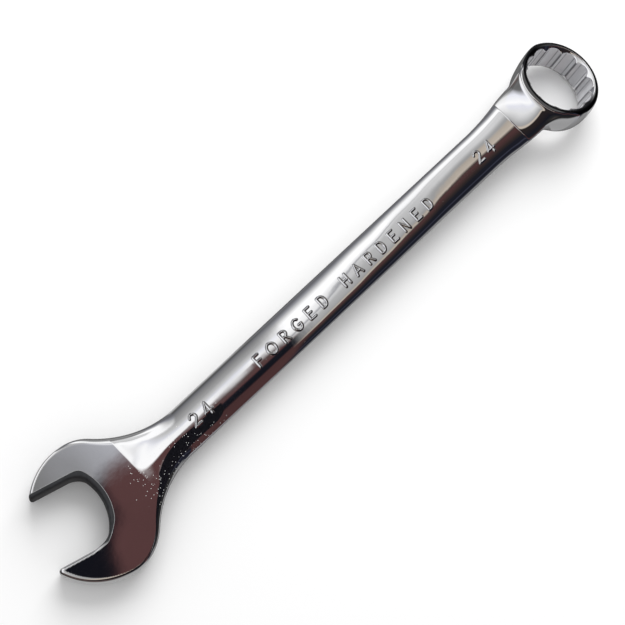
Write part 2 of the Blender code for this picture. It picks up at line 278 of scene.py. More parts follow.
def head_ellipse(angle):
    """Point of the head's outline at an angle from the jaw's opening direction."""
    nose = HEAD_NOSE_UPPER if angle > 0 else HEAD_NOSE_LOWER
    length = nose if math.cos(angle) > 0 else HEAD_HEEL
    s, w = length * math.cos(angle), HEAD_HALF_WIDTH * math.sin(angle)
    c, d = math.cos(JAW_ANGLE), math.sin(JAW_ANGLE)
    return np.array([-s * c + w * d, HEAD_CENTRE_Y + s * d + w * c])


def neck_side(side, radius):
    """One side of the outline from nose to shank: the ellipse, a fillet arc, the straight side."""
    bar_y = SHANK_AXIS_Y_JAW + side * SHANK_HALF_WIDTH_JAW
    angles = side * np.linspace(0.0, math.pi, ELLIPSE_POINTS)
    curve = np.array([head_ellipse(a) for a in angles])
    near, far = FILLET_CENTRE_RANGE
    for _ in range(HALVINGS):
        middle = 0.5 * (near + far)
        centre = np.array([middle, bar_y + side * radius])
        gaps = np.linalg.norm(curve - centre, axis=1)
        near, far = (middle, far) if gaps.min() < radius else (near, middle)
    touch = int(gaps.argmin())
    start = math.atan2(*(curve[touch] - centre)[::-1])
    turn = (-side * 0.5 * math.pi - start + math.pi) % (2 * math.pi) - math.pi
    sweep = start + turn * np.linspace(0.0, 1.0, FILLET_POINTS)[1:]
    fillet = centre + radius * np.stack([np.cos(sweep), np.sin(sweep)], axis=1)
    return np.vstack([curve[:touch + 1], fillet, [[HEAD_END_X + OUTLINE_OVERRUN, bar_y]]])


class Plan:
    """Signed distance to a closed outline, sampled on a grid and read back smoothly."""

    def __init__(self, outline, low, high):
        self.low = np.array(low)
        counts = np.ceil((np.array(high) - self.low) / PLAN_CELL).astype(int) + 1
        xs = self.low[0] + PLAN_CELL * np.arange(counts[0])
        ys = self.low[1] + PLAN_CELL * np.arange(counts[1])
        x, y = np.meshgrid(xs, ys, indexing="ij")
        nearest = np.full(x.shape, np.inf)
        inside = np.zeros(x.shape, bool)
        for (ax, ay), (bx, by) in zip(outline, np.roll(outline, -1, axis=0)):
            ex, ey = bx - ax, by - ay
            along = np.clip(((x - ax) * ex + (y - ay) * ey) / (ex * ex + ey * ey + 1e-12), 0.0, 1.0)
            gap = (x - ax - along * ex) ** 2 + (y - ay - along * ey) ** 2
            nearest = np.minimum(nearest, gap)
            if ay != by:
                crosses = (ay > y) != (by > y)
                inside ^= crosses & (x < ax + (y - ay) * ex / ey)
        self.values = np.where(inside, -1.0, 1.0) * np.sqrt(nearest)

    def at(self, x, y):
        """Catmull-Rom value at points inside the sampled area."""
        u = (x - self.low[0]) / PLAN_CELL
        v = (y - self.low[1]) / PLAN_CELL
        i = np.clip(np.floor(u).astype(int), 1, self.values.shape[0] - 3)
        j = np.clip(np.floor(v).astype(int), 1, self.values.shape[1] - 3)
        wu, wv = catmull_rom(u - i), catmull_rom(v - j)
        total = 0.0
        for a in range(4):
            for b in range(4):
                total = total + wu[a] * wv[b] * self.values[i + a - 1, j + b - 1]
        return total


def catmull_rom(t):
    return (
        0.5 * (-t + 2 * t ** 2 - t ** 3),
        0.5 * (2 - 5 * t ** 2 + 3 * t ** 3),
        0.5 * (t + 4 * t ** 2 - 3 * t ** 3),
        0.5 * (-t ** 2 + t ** 3),
    )


UPPER_SIDE = neck_side(1, UPPER_NECK_RADIUS)
LOWER_SIDE = neck_side(-1, LOWER_NECK_RADIUS)
HEAD_PLAN = Plan(np.vstack([UPPER_SIDE, LOWER_SIDE[::-1]]), PLAN_LOW, PLAN_HIGH)


def neck_reach(side_points, x):
    """Y of one side of the outline at x, behind the head's widest place."""
    widest = int(np.abs(side_points[:, 1]).argmax())
    return np.interp(x, side_points[widest:, 0], side_points[widest:, 1])


# --- solid fields, negative inside ---

def crowned(across, z, half_height, power):
    """Superellipse section: across is 1 at its sides, and z is the half height at its top."""
    level = across ** power + np.abs(z / half_height) ** power + 1e-12
    return (level ** (1.0 / power) - 1.0) * half_height


def bar_field(y, z, low, high, half_height):
    """Crowned bar between two sides."""
    across = np.abs(2.0 * y - low - high) / (high - low)
    return crowned(across, z, half_height, SECTION_POWER)


def jaw_field(x, y):
    """The jaw's opening, negative inside it."""
    c, d = math.cos(JAW_ANGLE), math.sin(JAW_ANGLE)
    s = -x * c + (y - HEAD_CENTRE_Y) * d
    w = x * d + (y - HEAD_CENTRE_Y) * c - JAW_OFFSET
    back = np.maximum(THROAT_RADIUS - THROAT_DEPTH - s, 0.0)
    throat = np.hypot(back, w - THROAT_SHIFT) - THROAT_RADIUS
    return round_max(np.abs(w) - 0.5 * JAW_WIDTH, throat, THROAT_CORNER)


def half_height_at(x, y):
    """Half height, from the flat faces to the level shank, with a crease on the upper side."""
    past = np.maximum(x - FACE_END_X, 0.0)
    share = 1.0 - np.maximum(1.0 - past / (LEVEL_END_X - FACE_END_X), 0.0) ** LEVEL_POWER
    drop = CREASE_DROP * smoothstep((y - CREASE_LOW_Y) / (CREASE_HIGH_Y - CREASE_LOW_Y))
    sloping = lerp(HEAD_HALF_THICKNESS - drop, SHANK_HALF_HEIGHT, share)
    return sloping + drop * np.maximum(1.0 - past / CREASE_REACH, 0.0) ** 2


def head_field(x, y, z):
    """The open head: a plate with a rounded wall, which becomes the shank's crowned bar."""
    past = x - FACE_END_X - NECK_BLEND_DELAY
    share = smoothstep(past / (HEAD_END_X - FACE_END_X - NECK_BLEND_DELAY))
    half_height = half_height_at(x, y)
    wider = smoothstep((x - HEEL_CROWN_X) / CROWN_BLEND_LENGTH)
    crown = lerp(HEAD_SIDE_CROWN, NECK_SIDE_CROWN, wider)
    plan = round_max(HEAD_PLAN.at(x, y), -jaw_field(x, y), TIP_CORNER)
    plate = crowned(np.maximum(plan + crown, 0.0) / crown, z, half_height, SIDE_POWER)
    bar = bar_field(y, z, neck_reach(LOWER_SIDE, x), neck_reach(UPPER_SIDE, x), half_height)
    return lerp(plate, bar, share)


def shank_sides(x):
    """Y of the shank's two sides; the flare to the ring begins before its end."""
    t = np.minimum((x - HEAD_END_X) / (TAPER_END_X - HEAD_END_X), 1.0)
    middle = lerp(SHANK_AXIS_Y_JAW, SHANK_AXIS_Y_RING, t)
    reach = lerp(SHANK_HALF_WIDTH_JAW, SHANK_HALF_WIDTH_RING, t)
    past = np.maximum(x - NECK_FLARE_START_X, 0.0)
    low = middle - soft_limit(reach + past ** 2 / (2.0 * NECK_FLARE_LOWER), NECK_WIDEST_LOWER)
    high = middle + soft_limit(reach + past ** 2 / (2.0 * NECK_FLARE_UPPER), NECK_WIDEST_UPPER)
    return low, high


def soft_limit(reach, widest):
    """Eases the neck's half width to its widest, so that it ends inside the ring's wall."""
    over = np.maximum(reach - widest + NECK_WIDEST_EASE, 0.0) / NECK_WIDEST_EASE
    return np.minimum(reach, widest - NECK_WIDEST_EASE) + NECK_WIDEST_EASE * (1.0 - np.exp(-over))


def ring_frame(x, y, z):
    """Radius, angle and height of points about the ring's leaning axis."""
    c, s = math.cos(RING_LEAN), math.sin(RING_LEAN)
    dx, dz = x - RING_CENTRE_X, z - RING_CENTRE_Z
    across, up = c * dx - s * dz, s * dx + c * dz
    return np.hypot(across, y), np.arctan2(y, across), up


def bore_radius(angle):
    """Twelve round grooves with narrow, slightly flattened ridges between them."""
    lobe = (angle - BORE_PHASE) / (2.0 * math.pi / BORE_POINTS)
    off = 2.0 * np.abs(lobe - np.round(lobe))
    share = np.minimum(off ** BORE_LOBE_POWER, BORE_RIDGE_SHARE)
    return lerp(BORE_GROOVE_RADIUS, BORE_RIDGE_RADIUS, share)


def countersink(radius, below_rim, rim_radius, slope):
    """Cone that narrows away from the rim, negative inside it."""
    return (radius - rim_radius + below_rim * slope) / math.hypot(1.0, slope)


def ring_wall(x, y, radius, up):
    """The ring's outside down to its lower rim, with a flat where the neck's upper side runs in."""
    lift = np.clip(np.abs(up) / RING_HALF_HEIGHT, 0.0, 0.999)
    crown = np.where(up < 0.0, RING_LOWER_CROWN, RING_UPPER_CROWN)
    wall = radius - RING_RADIUS + crown * (1.0 - (1.0 - lift ** 2) ** (0.5 * WALL_POWER))
    flat = y - WALL_FLAT_Y - WALL_FLAT_SLOPE * (x - WALL_FLAT_X)
    wall = round_max(wall, flat / math.hypot(1.0, WALL_FLAT_SLOPE), WALL_FLAT_ROUNDING)
    return round_max(wall, -up - RING_HALF_HEIGHT, RIM_ROUNDING)


def ring_neck(x, y, z, share):
    """The ring's neck: a crowned bar whose top sweeps up to the rim."""
    low, high = shank_sides(x)
    before = np.minimum(x - RING_CENTRE_X, 0.0)
    rise = NECK_SWEEP_FOOT - np.hypot(before, NECK_SWEEP_NARROWING * y)
    rise = 0.5 * (rise + np.hypot(rise, NECK_SWEEP_SOFT))
    rise = rise * smoothstep((x - SHANK_END_X) / NECK_SWEEP_START)
    top = SHANK_HALF_HEIGHT + NECK_SWEEP_SLOPE * rise + rise ** 2 / (2.0 * NECK_SWEEP_RADIUS)
    bottom = SHANK_HALF_HEIGHT - NECK_BOTTOM_RISE * share
    neck = bar_field(y, z - 0.5 * (top - bottom), low, high, 0.5 * (top + bottom))
    return round_max(neck, x - NECK_STOP_X, NECK_STOP_ROUNDING)


def ring_field(x, y, z):
    """The ring head: wall and neck in one, cut by the upper rim, the bore and its countersinks."""
    radius, angle, up = ring_frame(x, y, z)
    share = smoothstep((x - SHANK_END_X) / (RING_CENTRE_X - RING_RADIUS - SHANK_END_X))
    wall, neck = ring_wall(x, y, radius, up), ring_neck(x, y, z, share)
    solid = smooth_min(wall, neck, NECK_FILLET * share + LEAST_FILLET)
    solid = round_max(solid, up - RING_HALF_HEIGHT, RIM_ROUNDING)
    for hollow in (
        radius - bore_radius(angle),
        countersink(radius, RING_HALF_HEIGHT - up, TOP_SINK_RADIUS, TOP_SINK_SLOPE),
        countersink(radius, RING_HALF_HEIGHT + up, BOTTOM_SINK_RADIUS, BOTTOM_SINK_SLOPE),
    ):
        solid = round_max(solid, -hollow, BORE_EDGE_RADIUS)
    return solid


# --- turning a field into a mesh ---

def unit(vectors):
    return vectors / np.linalg.norm(vectors, axis=1, keepdims=True)


def gradient(field, points):
    """The field's slope along X, Y and Z at each point."""
    out = np.empty_like(points)
    for axis in range(3):
        shift = np.zeros(3)
        shift[axis] = GRADIENT_STEP
        ahead = field(*(points + shift).T)
        behind = field(*(points - shift).T)
        out[:, axis] = (ahead - behind) / (2.0 * GRADIENT_STEP)
    return out


def mean_crossing(at, sizes):
    """Mean place where a cell's edges are crossed, from the values at its eight corners."""
    total = 0.0
    hits = 0
    for axis in range(3):
        for corner, value in at.items():
            if corner[axis]:
                continue
            far = at[tuple(1 if k == axis else corner[k] for k in range(3))]
            cut = (value < 0.0) != (far < 0.0)
            t = np.where(cut, value / np.where(cut, value - far, 1.0), 0.0)
            place = np.array(corner, float) + t[:, None] * np.eye(3)[axis]
            total = total + np.where(cut[:, None], place * sizes, 0.0)
            hits = hits + cut
    return total / hits[:, None]


def crossing_quads(inside, index):
    """A quad through the four cells round each crossed grid edge, turned to face outward."""
    faces = []
    for axis in range(3):
        b, c = (axis + 1) % 3, (axis + 2) % 3
        near = [slice(1, count) for count in index.shape]
        far = list(near)
        near[axis] = slice(0, index.shape[axis])
        far[axis] = slice(1, index.shape[axis] + 1)
        first, second = inside[tuple(near)], inside[tuple(far)]
        spots = np.argwhere(first != second) + [0 if k == axis else 1 for k in range(3)]
        outward = first[first != second]
        quads = []
        for shift_b, shift_c in ((-1, -1), (0, -1), (0, 0), (-1, 0)):
            cell_at = spots.copy()
            cell_at[:, b] += shift_b
            cell_at[:, c] += shift_c
            quads.append(index[tuple(cell_at.T)])
        quads = np.stack(quads, axis=1)
        quads[~outward] = quads[~outward][:, ::-1]
        faces.append(quads)
    return np.vstack(faces)


def surface_net(field, low, high, cell):
    """Quad mesh of a field's zero level between two corners: one vertex in each crossed cell."""
    counts = np.round((np.array(high) - low) / cell).astype(int)
    axes = [np.linspace(low[k], high[k], counts[k] + 1) for k in range(3)]
    values = field(*np.meshgrid(*axes, indexing="ij"))
    inside = values < 0.0
    corners = {
        corner: tuple(slice(k, k + count) for k, count in zip(corner, counts))
        for corner in np.ndindex(2, 2, 2)
    }
    votes = sum(inside[part].astype(int) for part in corners.values())
    crossed = (votes > 0) & (votes < len(corners))
    index = np.full(crossed.shape, -1)
    index[crossed] = np.arange(int(crossed.sum()))
    cells = np.argwhere(crossed)
    base = np.stack([axes[k][cells[:, k]] for k in range(3)], axis=1)
    sizes = np.array([places[1] - places[0] for places in axes])
    at = {corner: values[part][crossed] for corner, part in corners.items()}
    return base + mean_crossing(at, sizes), crossing_quads(inside, index)


def settle(field, vertices, held):
    """Moves vertices onto the surface; the held ones stay in their own X plane."""
    for _ in range(SETTLE_ROUNDS):
        value = field(*vertices.T)
        slope = gradient(field, vertices)
        slope[held, 0] = 0.0
        step = value / np.maximum((slope ** 2).sum(axis=1), 1e-6)
        move = -slope * step[:, None]
        reach = np.linalg.norm(move, axis=1, keepdims=True)
        vertices = vertices + move * np.minimum(1.0, SETTLE_REACH / np.maximum(reach, 1e-9))
    return vertices


def lying_angle():
    """How far the forging tips about Y to rest on its prong tips and the ring's low side."""
    foot_radius = RING_RADIUS - RING_LOWER_CROWN
    c, s = math.cos(RING_LEAN), math.sin(RING_LEAN)
    foot_x = RING_CENTRE_X + foot_radius * c - RING_HALF_HEIGHT * s
    foot_z = RING_CENTRE_Z - foot_radius * s - RING_HALF_HEIGHT * c
    tip_x = -HEAD_NOSE_UPPER * math.cos(JAW_ANGLE)
    return math.atan2(-HEAD_HALF_THICKNESS - foot_z, foot_x - tip_x)


LYING = lying_angle()
TURN = np.array([
    [math.cos(LYING), 0.0, -math.sin(LYING)],
    [0.0, 1.0, 0.0],
    [math.sin(LYING), 0.0, math.cos(LYING)],
])


def forging_place():
    """World place of the forging frame, from the lowest corner of the CAD shank's box."""
    low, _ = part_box("shank")
    near_x, c, s = HEAD_END_X + ZONE_GAP, math.cos(LYING), math.sin(LYING)
    corner = np.array([
        near_x * c - SHANK_HALF_HEIGHT * s,
        SHANK_AXIS_Y_JAW - SHANK_HALF_WIDTH_JAW,
        near_x * s - SHANK_HALF_HEIGHT * c,
    ])
    return np.array(low) - corner * MM


PLACE = forging_place()


def to_world(points):
    """Forging-frame millimetres to world metres."""
    return PLACE + (np.asarray(points) @ TURN.T) * MM


def skin(name, vertices, faces, normals, material):
    """A smooth piece from forging-frame vertices, with its holes capped and exact normals."""
    mesh = bpy.data.meshes.new(name)
    mesh.from_pydata(to_world(vertices).tolist(), [], faces.tolist())
    bm = bmesh.new()
    bm.from_mesh(mesh)
    open_edges = [e for e in bm.edges if e.is_boundary]
    bmesh.ops.holes_fill(bm, edges=open_edges, sides=0)
    bm.to_mesh(mesh)
    bm.free()
    mesh.shade_smooth()
    mesh.normals_split_custom_set_from_vertices((normals @ TURN.T).tolist())
    mesh.materials.append(material)
    piece = bpy.data.objects.new(name, mesh)
    bpy.context.collection.objects.link(piece)
    return piece


def field_piece(name, field, low, high, cell, seam_x, material):
    """A zone meshed from its field; its end at seam_x lies exactly on that plane."""
    vertices, faces = surface_net(field, low, high, cell)
    width = (high[0] - low[0]) / round((high[0] - low[0]) / cell)
    held = np.abs(vertices[:, 0] - seam_x) <= width
    vertices[held, 0] = seam_x
    vertices = settle(field, vertices, held)
    return skin(name, vertices, faces, unit(gradient(field, vertices)), material)


# --- raised marks ---

def arc(x, y, rx, ry, start, end, steps=10):
    """Points of an elliptical arc, angles in degrees."""
    angles = np.radians(np.linspace(start, end, steps))
    return [(x + rx * math.cos(a), y + ry * math.sin(a)) for a in angles]


# Strokes of each sign in a box 1 high and up to 0.8 wide, centred on x = 0.
SIGNS = {
    "2": [arc(0.0, 0.71, 0.27, 0.27, 165, -25) + [(-0.28, 0.02), (0.30, 0.02)]],
    "4": [[(0.14, 0.0), (0.14, 1.0), (-0.30, 0.28), (0.34, 0.28)]],
    "A": [[(-0.34, 0.0), (0.0, 1.0), (0.34, 0.0)], [(-0.22, 0.33), (0.22, 0.33)]],
    "D": [[(-0.28, 0.0), (-0.28, 1.0)] + arc(-0.05, 0.5, 0.36, 0.5, 90, -90) + [(-0.28, 0.0)]],
    "E": [[(0.27, 1.0), (-0.27, 1.0), (-0.27, 0.0), (0.27, 0.0)], [(-0.27, 0.52), (0.18, 0.52)]],
    "F": [[(0.27, 1.0), (-0.27, 1.0), (-0.27, 0.0)], [(-0.27, 0.52), (0.18, 0.52)]],
    "G": [arc(0.0, 0.5, 0.40, 0.5, 48, 325, 16) + [(0.35, 0.44), (0.08, 0.44)]],
    "H": [[(-0.29, 0.0), (-0.29, 1.0)], [(0.29, 0.0), (0.29, 1.0)], [(-0.29, 0.5), (0.29, 0.5)]],
    "N": [[(-0.29, 0.0), (-0.29, 1.0), (0.29, 0.0), (0.29, 1.0)]],
    "O": [arc(0.0, 0.5, 0.42, 0.5, 0, 360, 22)],
    "R": [[(-0.27, 0.0), (-0.27, 1.0)] + arc(0.03, 0.74, 0.26, 0.26, 90, -90) + [(-0.27, 0.48)],
          [(0.02, 0.48), (0.30, 0.0)]],
}


def mark_segments():
    """Every stroke segment of the marks, as rows of (x0, y0, x1, y1)."""
    rows = []
    for text, first_x, pitch, height in MARKS:
        for place, sign in enumerate(text):
            for stroke in SIGNS[sign]:
                points = np.array(stroke) * height
                points += (first_x + pitch * place, MARK_LINE_Y - 0.5 * height)
                rows += [(*a, *b) for a, b in zip(points, points[1:])]
    return rows


def marks_at(x, y):
    """How far the marks stand up at points of the shank, and how much painted shade lies round
    their feet.
    """
    nearest = np.full(x.shape, np.inf)
    reach = MARK_REACH * MARK_STROKE
    for ax, ay, bx, by in mark_segments():
        near = (x > min(ax, bx) - reach) & (x < max(ax, bx) + reach)
        px, py = x[near] - ax, y[near] - ay
        ex, ey = bx - ax, by - ay
        along = np.clip((px * ex + py * ey) / (ex * ex + ey * ey + 1e-9), 0.0, 1.0)
        gap = np.hypot(px - along * ex, py - along * ey)
        nearest[near] = np.minimum(nearest[near], gap)
    strokes = nearest / MARK_STROKE
    painted_foot_shade = np.exp(-((strokes - FOOT_SHADE_PLACE) / FOOT_SHADE_WIDTH) ** 2)
    return MARK_RELIEF * (1.0 - smoothstep(strokes - MARK_TOP)), painted_foot_shade


# --- shank ---

def section_angles():
    """Round the section from one side over the top and back underneath, finest at the marks."""
    count = round(2.0 * MARK_BAND * SHANK_HALF_WIDTH_RING / SHANK_STEP)
    across = np.linspace(-MARK_BAND, MARK_BAND, count)
    marked = np.arccos(-np.sign(across) * np.abs(across) ** (0.5 * SECTION_POWER))
    shoulder = np.linspace(SIDE_ANGLE, marked[0], SHOULDER_POINTS)
    flank = SIDE_ANGLE * np.linspace(0.0, 1.0, SHANK_SIDE_POINTS + 1) ** SIDE_CROWDING
    half = np.concatenate([flank[:-1], shoulder[:-1]])
    under = np.linspace(math.pi, 2 * math.pi, SHANK_UNDER_POINTS + 1)
    return np.concatenate([half, marked, (math.pi - half[::-1])[:-1], under[:-1]])


def shank_places():
    """X of the shank's sections, close together only where there are marks."""
    places = []
    start = HEAD_END_X
    for text, first_x, pitch, height in MARKS:
        low = first_x - 0.5 * height
        high = first_x + pitch * (len(text) - 1) + 0.5 * height
        places += list(np.arange(start, low, PLAIN_STEP))
        places += list(np.arange(low, high, SHANK_STEP))
        start = high
    return np.array(places + list(np.linspace(start, SHANK_END_X, TAIL_SECTIONS)))


def shank_surface(x, angle):
    """Point of the shank's surface, without its marks."""
    low, high = shank_sides(x)
    c, s = np.cos(angle), np.sin(angle)
    power = 2.0 / SECTION_POWER
    y = 0.5 * (low + high) - np.sign(c) * np.abs(c) ** power * 0.5 * (high - low)
    z = half_height_at(x, y) * np.sign(s) * np.abs(s) ** power
    return np.stack([x, y, z], axis=-1)


def shank_field(x, y, z):
    low, high = shank_sides(x)
    return bar_field(y, z, low, high, half_height_at(x, y))


def grid_normals(grid, outward):
    """Normals of a grid of points that closes on itself round the section."""
    along = np.gradient(grid, axis=0)
    around = np.roll(grid, -1, axis=1) - np.roll(grid, 1, axis=1)
    normals = unit(np.cross(around, along).reshape(-1, 3))
    return normals * np.sign((normals * outward).sum(axis=1, keepdims=True))


def make_shank(material):
    """The shank's swept skin, with its marks raised and the painted shade round them as an
    attribute.
    """
    places, angles = shank_places(), section_angles()
    x, angle = np.meshgrid(places, angles, indexing="ij")
    points = shank_surface(x, angle).reshape(-1, 3)
    normals = unit(gradient(shank_field, points))
    on_top = points[:, 2] > 0.0
    height, foot = (np.where(on_top, part, 0.0) for part in marks_at(*points[:, :2].T))
    raised = points + normals * height[:, None]

    tilted = grid_normals(raised.reshape(*x.shape, 3), normals)
    rise_along, rise_around = np.gradient(height.reshape(x.shape))
    sloping = (np.abs(rise_along) + np.abs(rise_around)).reshape(-1) > 1e-6
    normals[sloping] = tilted[sloping]

    index = np.arange(len(points)).reshape(x.shape)
    after = np.roll(index, -1, axis=1)
    faces = np.stack([index[:-1], index[1:], after[1:], after[:-1]], axis=-1).reshape(-1, 4)
    piece = skin("shank_skin", raised, faces, normals, material)
    painted_foot_shade = piece.data.attributes.new("painted_foot_shade", "FLOAT", "POINT")
    painted_foot_shade.data.foreach_set("value", foot.astype(np.float32))
    return piece


# --- materials ---

class Nodes:
    """Shorthand for building a node tree. A value is a socket to link or a constant to set."""

    def __init__(self, tree):
        self.tree = tree

    def feed(self, node, keys, values):
        """Fills a node's inputs; a constant colour is given as (red, green, blue)."""
        for key, value in zip(keys, values):
            socket = node.inputs[key]
            if isinstance(value, bpy.types.NodeSocket):
                self.tree.links.new(value, socket)
            elif socket.type == "RGBA":
                socket.default_value = (*value, 1.0)
            else:
                socket.default_value = value

    def add(self, kind, settings=(), **inputs):
        """A shader node; an input's name has _ where the socket's has a space."""
        node = self.tree.nodes.new("ShaderNode" + kind)
        for key, value in dict(settings).items():
            setattr(node, key, value)
        self.feed(node, [key.replace("_", " ") for key in inputs], inputs.values())
        return node

    def math(self, operation, *values):
        node = self.add("Math", {"operation": operation})
        self.feed(node, range(len(values)), values)
        return node.outputs[0]

    def vector(self, operation, *values):
        node = self.add("VectorMath", {"operation": operation})
        self.feed(node, range(len(values)), values)
        return node.outputs["Value" if operation == "DOT_PRODUCT" else "Vector"]

    def minus(self, a, b):
        return self.math("SUBTRACT", a, b)

    def product(self, first, *others):
        for other in others:
            first = self.math("MULTIPLY", first, other)
        return first

    def noise(self, at, scale, detail):
        return self.add("TexNoise", Vector=at, Scale=scale, Detail=detail).outputs["Fac"]

    def length(self, a, b):
        """Length of the flat vector (a, b)."""
        squares = [self.math("POWER", part, 2.0) for part in (a, b)]
        return self.math("SQRT", self.math("ADD", *squares))

    def step(self, value, start, end):
        """0 on the start's side, 1 on the end's side, smooth between; the end may be the lower."""
        smooth = {"interpolation_type": "SMOOTHSTEP"}
        node = self.add("MapRange", smooth, Value=value, From_Min=start, From_Max=end)
        return node.outputs["Result"]

    def window(self, value, left, right):
        """1 between two steps, each given from its 0 side to its 1 side, and 0 outside them."""
        return self.product(self.step(value, *left), self.step(value, *right))

    def blend(self, share, a, b):
        """a where share is 0, b where it is 1."""
        node = self.add("Mix")
        self.feed(node, (0, 2, 3), (share, a, b))
        return node.outputs[0]

    def mix(self, share, a, b):
        """The same for colours."""
        node = self.add("Mix", {"data_type": "RGBA"})
        self.feed(node, (0, 6, 7), (share, a, b))
        return node.outputs[2]

    def ramp(self, value, stops):
        """Colour ramp from (position, colour) stops."""
        node = self.add("ValToRGB", Fac=value)
        ramp = node.color_ramp
        for place, _ in stops[2:]:
            ramp.elements.new(place)
        for element, (place, colour) in zip(ramp.elements, stops):
            element.position = place
            element.color = (*colour, 1.0)
        return node.outputs["Color"]


class Chrome:
    """Polished chrome plate: a mirror with a faint orange peel, wiping marks and haze."""

    def __init__(self, name):
        self.material = bpy.data.materials.new(name)
        self.material.use_nodes = True
        self.nodes = nodes = Nodes(self.material.node_tree)
        self.at = at = nodes.add("TexCoord").outputs["Object"]

        wave, ripple = nodes.noise(at, PEEL_SCALE, 0.0), nodes.noise(at, RIPPLE_SCALE, 1.0)
        relief = nodes.math("MULTIPLY_ADD", ripple, RIPPLE_SHARE, wave)
        peel = nodes.add("Bump", Strength=1.0, Distance=PEEL_DEPTH, Height=relief)
        self.normal = peel.outputs["Normal"]

        drawn = nodes.add("Mapping", Vector=at, Scale=WIPING_SCALE).outputs["Vector"]
        wiping, haze = nodes.noise(drawn, 1.0, 3.0), nodes.noise(at, HAZE_SCALE, 4.0)
        wiped = nodes.product(nodes.step(wiping, *WIPING_RANGE), WIPED_ROUGHNESS)
        hazed = nodes.product(nodes.step(haze, *HAZE_RANGE), HAZED_ROUGHNESS)
        self.roughness = nodes.math("ADD", nodes.math("ADD", wiped, hazed), MIRROR_ROUGHNESS)
        self.colour = nodes.mix(nodes.step(haze, *CLOUD_RANGE), CHROME, CHROME_HAZE)
        self.metallic = 1.0

    def coat(self, mask, colour, roughness, metallic):
        """Lays another finish over the plate where the mask is 1."""
        self.colour = self.nodes.mix(mask, self.colour, colour)
        self.roughness = self.nodes.blend(mask, self.roughness, roughness)
        self.metallic = self.nodes.blend(mask, self.metallic, metallic)

    def dust(self, more=0.0):
        """Specks, one in each pattern cell whose lot is drawn; more adds to the share drawn."""
        nodes = self.nodes
        cells = nodes.add("TexVoronoi", Vector=self.at, Scale=DUST_SCALE).outputs
        lot = nodes.add("SeparateColor", Color=cells["Color"]).outputs[0]
        share = nodes.math("ADD", more, DUST_SHARE)
        size = nodes.minus(lot, nodes.minus(1.0, share))
        size = nodes.math("MINIMUM", nodes.product(size, 2.0), DUST_SIZE)
        speck = nodes.math("LESS_THAN", cells["Distance"], size)
        self.coat(speck, DUST, roughness=0.5, metallic=0.0)

    def along(self, origin, direction):
        """How far each point lies from a world place along a direction, in millimetres."""
        offset = self.nodes.vector("SUBTRACT", self.at, tuple(origin))
        return self.nodes.vector("DOT_PRODUCT", offset, tuple(np.array(direction) / MM))

    def forging_axes(self):
        """X and Y in the forging frame."""
        return [self.along(PLACE, row) for row in TURN.T[:2]]

    def finish(self):
        self.nodes.feed(
            self.material.node_tree.nodes["Principled BSDF"],
            ("Base Color", "Roughness", "Metallic", "Normal"),
            (self.colour, self.roughness, self.metallic, self.normal))
        return self.material


def neck_chrome(name):
    """Chrome with dust on the lower half of the jaw end's neck."""
    plate = Chrome(name)
    nodes = plate.nodes
    x, y = plate.forging_axes()
    here = nodes.product(nodes.window(x, *NECK_DUST_X), nodes.window(y, *NECK_DUST_Y))
    plate.dust(nodes.product(here, NECK_DUST_SHARE))
    return plate


def head_chrome(name):
    """Chrome with a painted dark reflection on the jaw's walls and on a border of the face round
    them.
    """
    plate = neck_chrome(name)
    nodes = plate.nodes
    x, y = plate.forging_axes()
    c, s = math.cos(JAW_ANGLE), math.sin(JAW_ANGLE)
    across = nodes.math("ADD", nodes.product(x, s), nodes.product(y, c))
    across = nodes.minus(across, HEAD_CENTRE_Y * c + JAW_OFFSET)
    ahead = nodes.minus(nodes.product(y, s), nodes.product(x, c))
    back = nodes.minus(THROAT_RADIUS - THROAT_DEPTH + HEAD_CENTRE_Y * s, ahead)
    back = nodes.math("MAXIMUM", back, 0.0)
    throat = nodes.length(back, nodes.minus(across, THROAT_SHIFT))
    throat = nodes.minus(throat, THROAT_RADIUS)
    flats = nodes.minus(nodes.math("ABSOLUTE", across), 0.5 * JAW_WIDTH)
    opening = nodes.math("SMOOTH_MAX", flats, throat, DARK_JAW_ROUNDING)

    thinner = nodes.step(across, *DARK_JAW_THIN_ACROSS)
    edge = nodes.math("MULTIPLY_ADD", thinner, -DARK_JAW_THINNING, DARK_JAW_EDGE)
    past_edge = nodes.minus(opening, edge)
    near_jaw = nodes.step(past_edge, DARK_JAW_SOFT, -DARK_JAW_SOFT)
    mask = nodes.product(near_jaw, nodes.step(across, *DARK_JAW_BRIGHT_ACROSS))
    # Painted dark reflection: a dark matt colour on the jaw's walls and the face's border, in place
    # of what the chrome would mirror there.
    painted_dark_reflection = nodes.mix(nodes.noise(plate.at, DARK_JAW_SCALE, 3.0), *PAINTED_JAW_REFLECTION_COLOURS)
    plate.coat(mask, painted_dark_reflection, roughness=0.6, metallic=0.0)
    return plate.finish()


def shank_chrome(name):
    """Chrome with a fine line of painted shade round the feet of the raised marks."""
    plate = neck_chrome(name)
    painted_foot_shade = plate.nodes.add("Attribute", {"attribute_name": "painted_foot_shade"}).outputs["Fac"]
    foot_shade_mask = plate.nodes.product(painted_foot_shade, MARK_FOOT_SHADE_SHARE)
    # Painted shade: a dark line laid round the feet of the marks.
    plate.coat(foot_shade_mask, MARK_FOOT_SHADE, roughness=0.2, metallic=1.0)
    return plate.finish()


